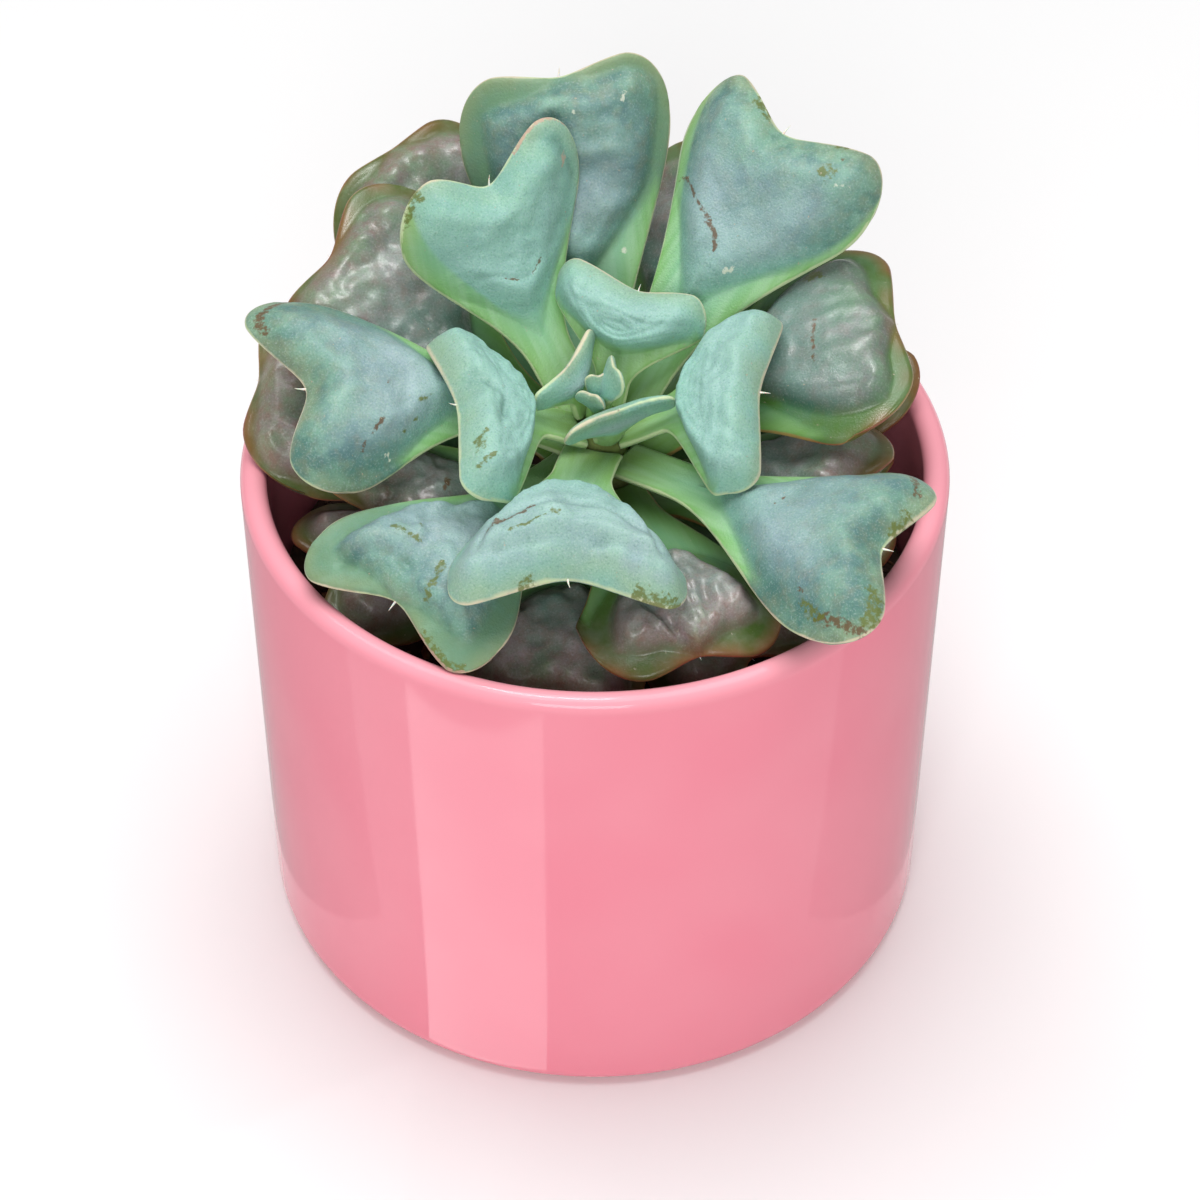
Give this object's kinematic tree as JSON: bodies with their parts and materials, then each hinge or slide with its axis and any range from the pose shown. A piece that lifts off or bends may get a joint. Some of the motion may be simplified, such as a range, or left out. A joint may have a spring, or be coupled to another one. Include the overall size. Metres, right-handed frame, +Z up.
{
  "type": "potted echeveria succulent",
  "caption": "Succulent rosette of fleshy heart-shaped blue-green leaves, leaning forward out of a plain pink glazed cylinder pot.",
  "frame": {"origin": "middle of the pot's flat foot, on the surface that it stands on", "axes": "+Z up along the pot's axis, -Y to the front, which the rosette leans towards, and +X to the right as seen from the front"},
  "size_m": [0.12, 0.12, 0.1473],
  "materials": {
    "glaze": "gloss",
    "soil": "matte",
    "stem": "matte",
    "leaf": "matte",
    "old_leaf": "satin"
  },
  "bodies": {
    "root": {"pot": "glaze", "soil": "soil", "stem": "stem", "growing_tip": "leaf", "leaf_01": "leaf", "leaf_02": "leaf", "leaf_03": "leaf", "leaf_04": "leaf", "leaf_05": "leaf", "leaf_06": "leaf", "leaf_07": "leaf", "leaf_08": "leaf", "leaf_09": "leaf", "leaf_10": "leaf", "leaf_11": "leaf", "leaf_12": "leaf", "leaf_13": "old_leaf", "leaf_14": "old_leaf", "leaf_15": "old_leaf", "leaf_16": "old_leaf", "leaf_17": "old_leaf", "leaf_18": "old_leaf", "leaf_19": "old_leaf", "leaf_20": "old_leaf", "leaf_21": "old_leaf", "leaf_22": "old_leaf", "leaf_23": "old_leaf", "leaf_24": "old_leaf", "leaf_25": "old_leaf", "leaf_26": "old_leaf"}
  },
  "joints": []
}
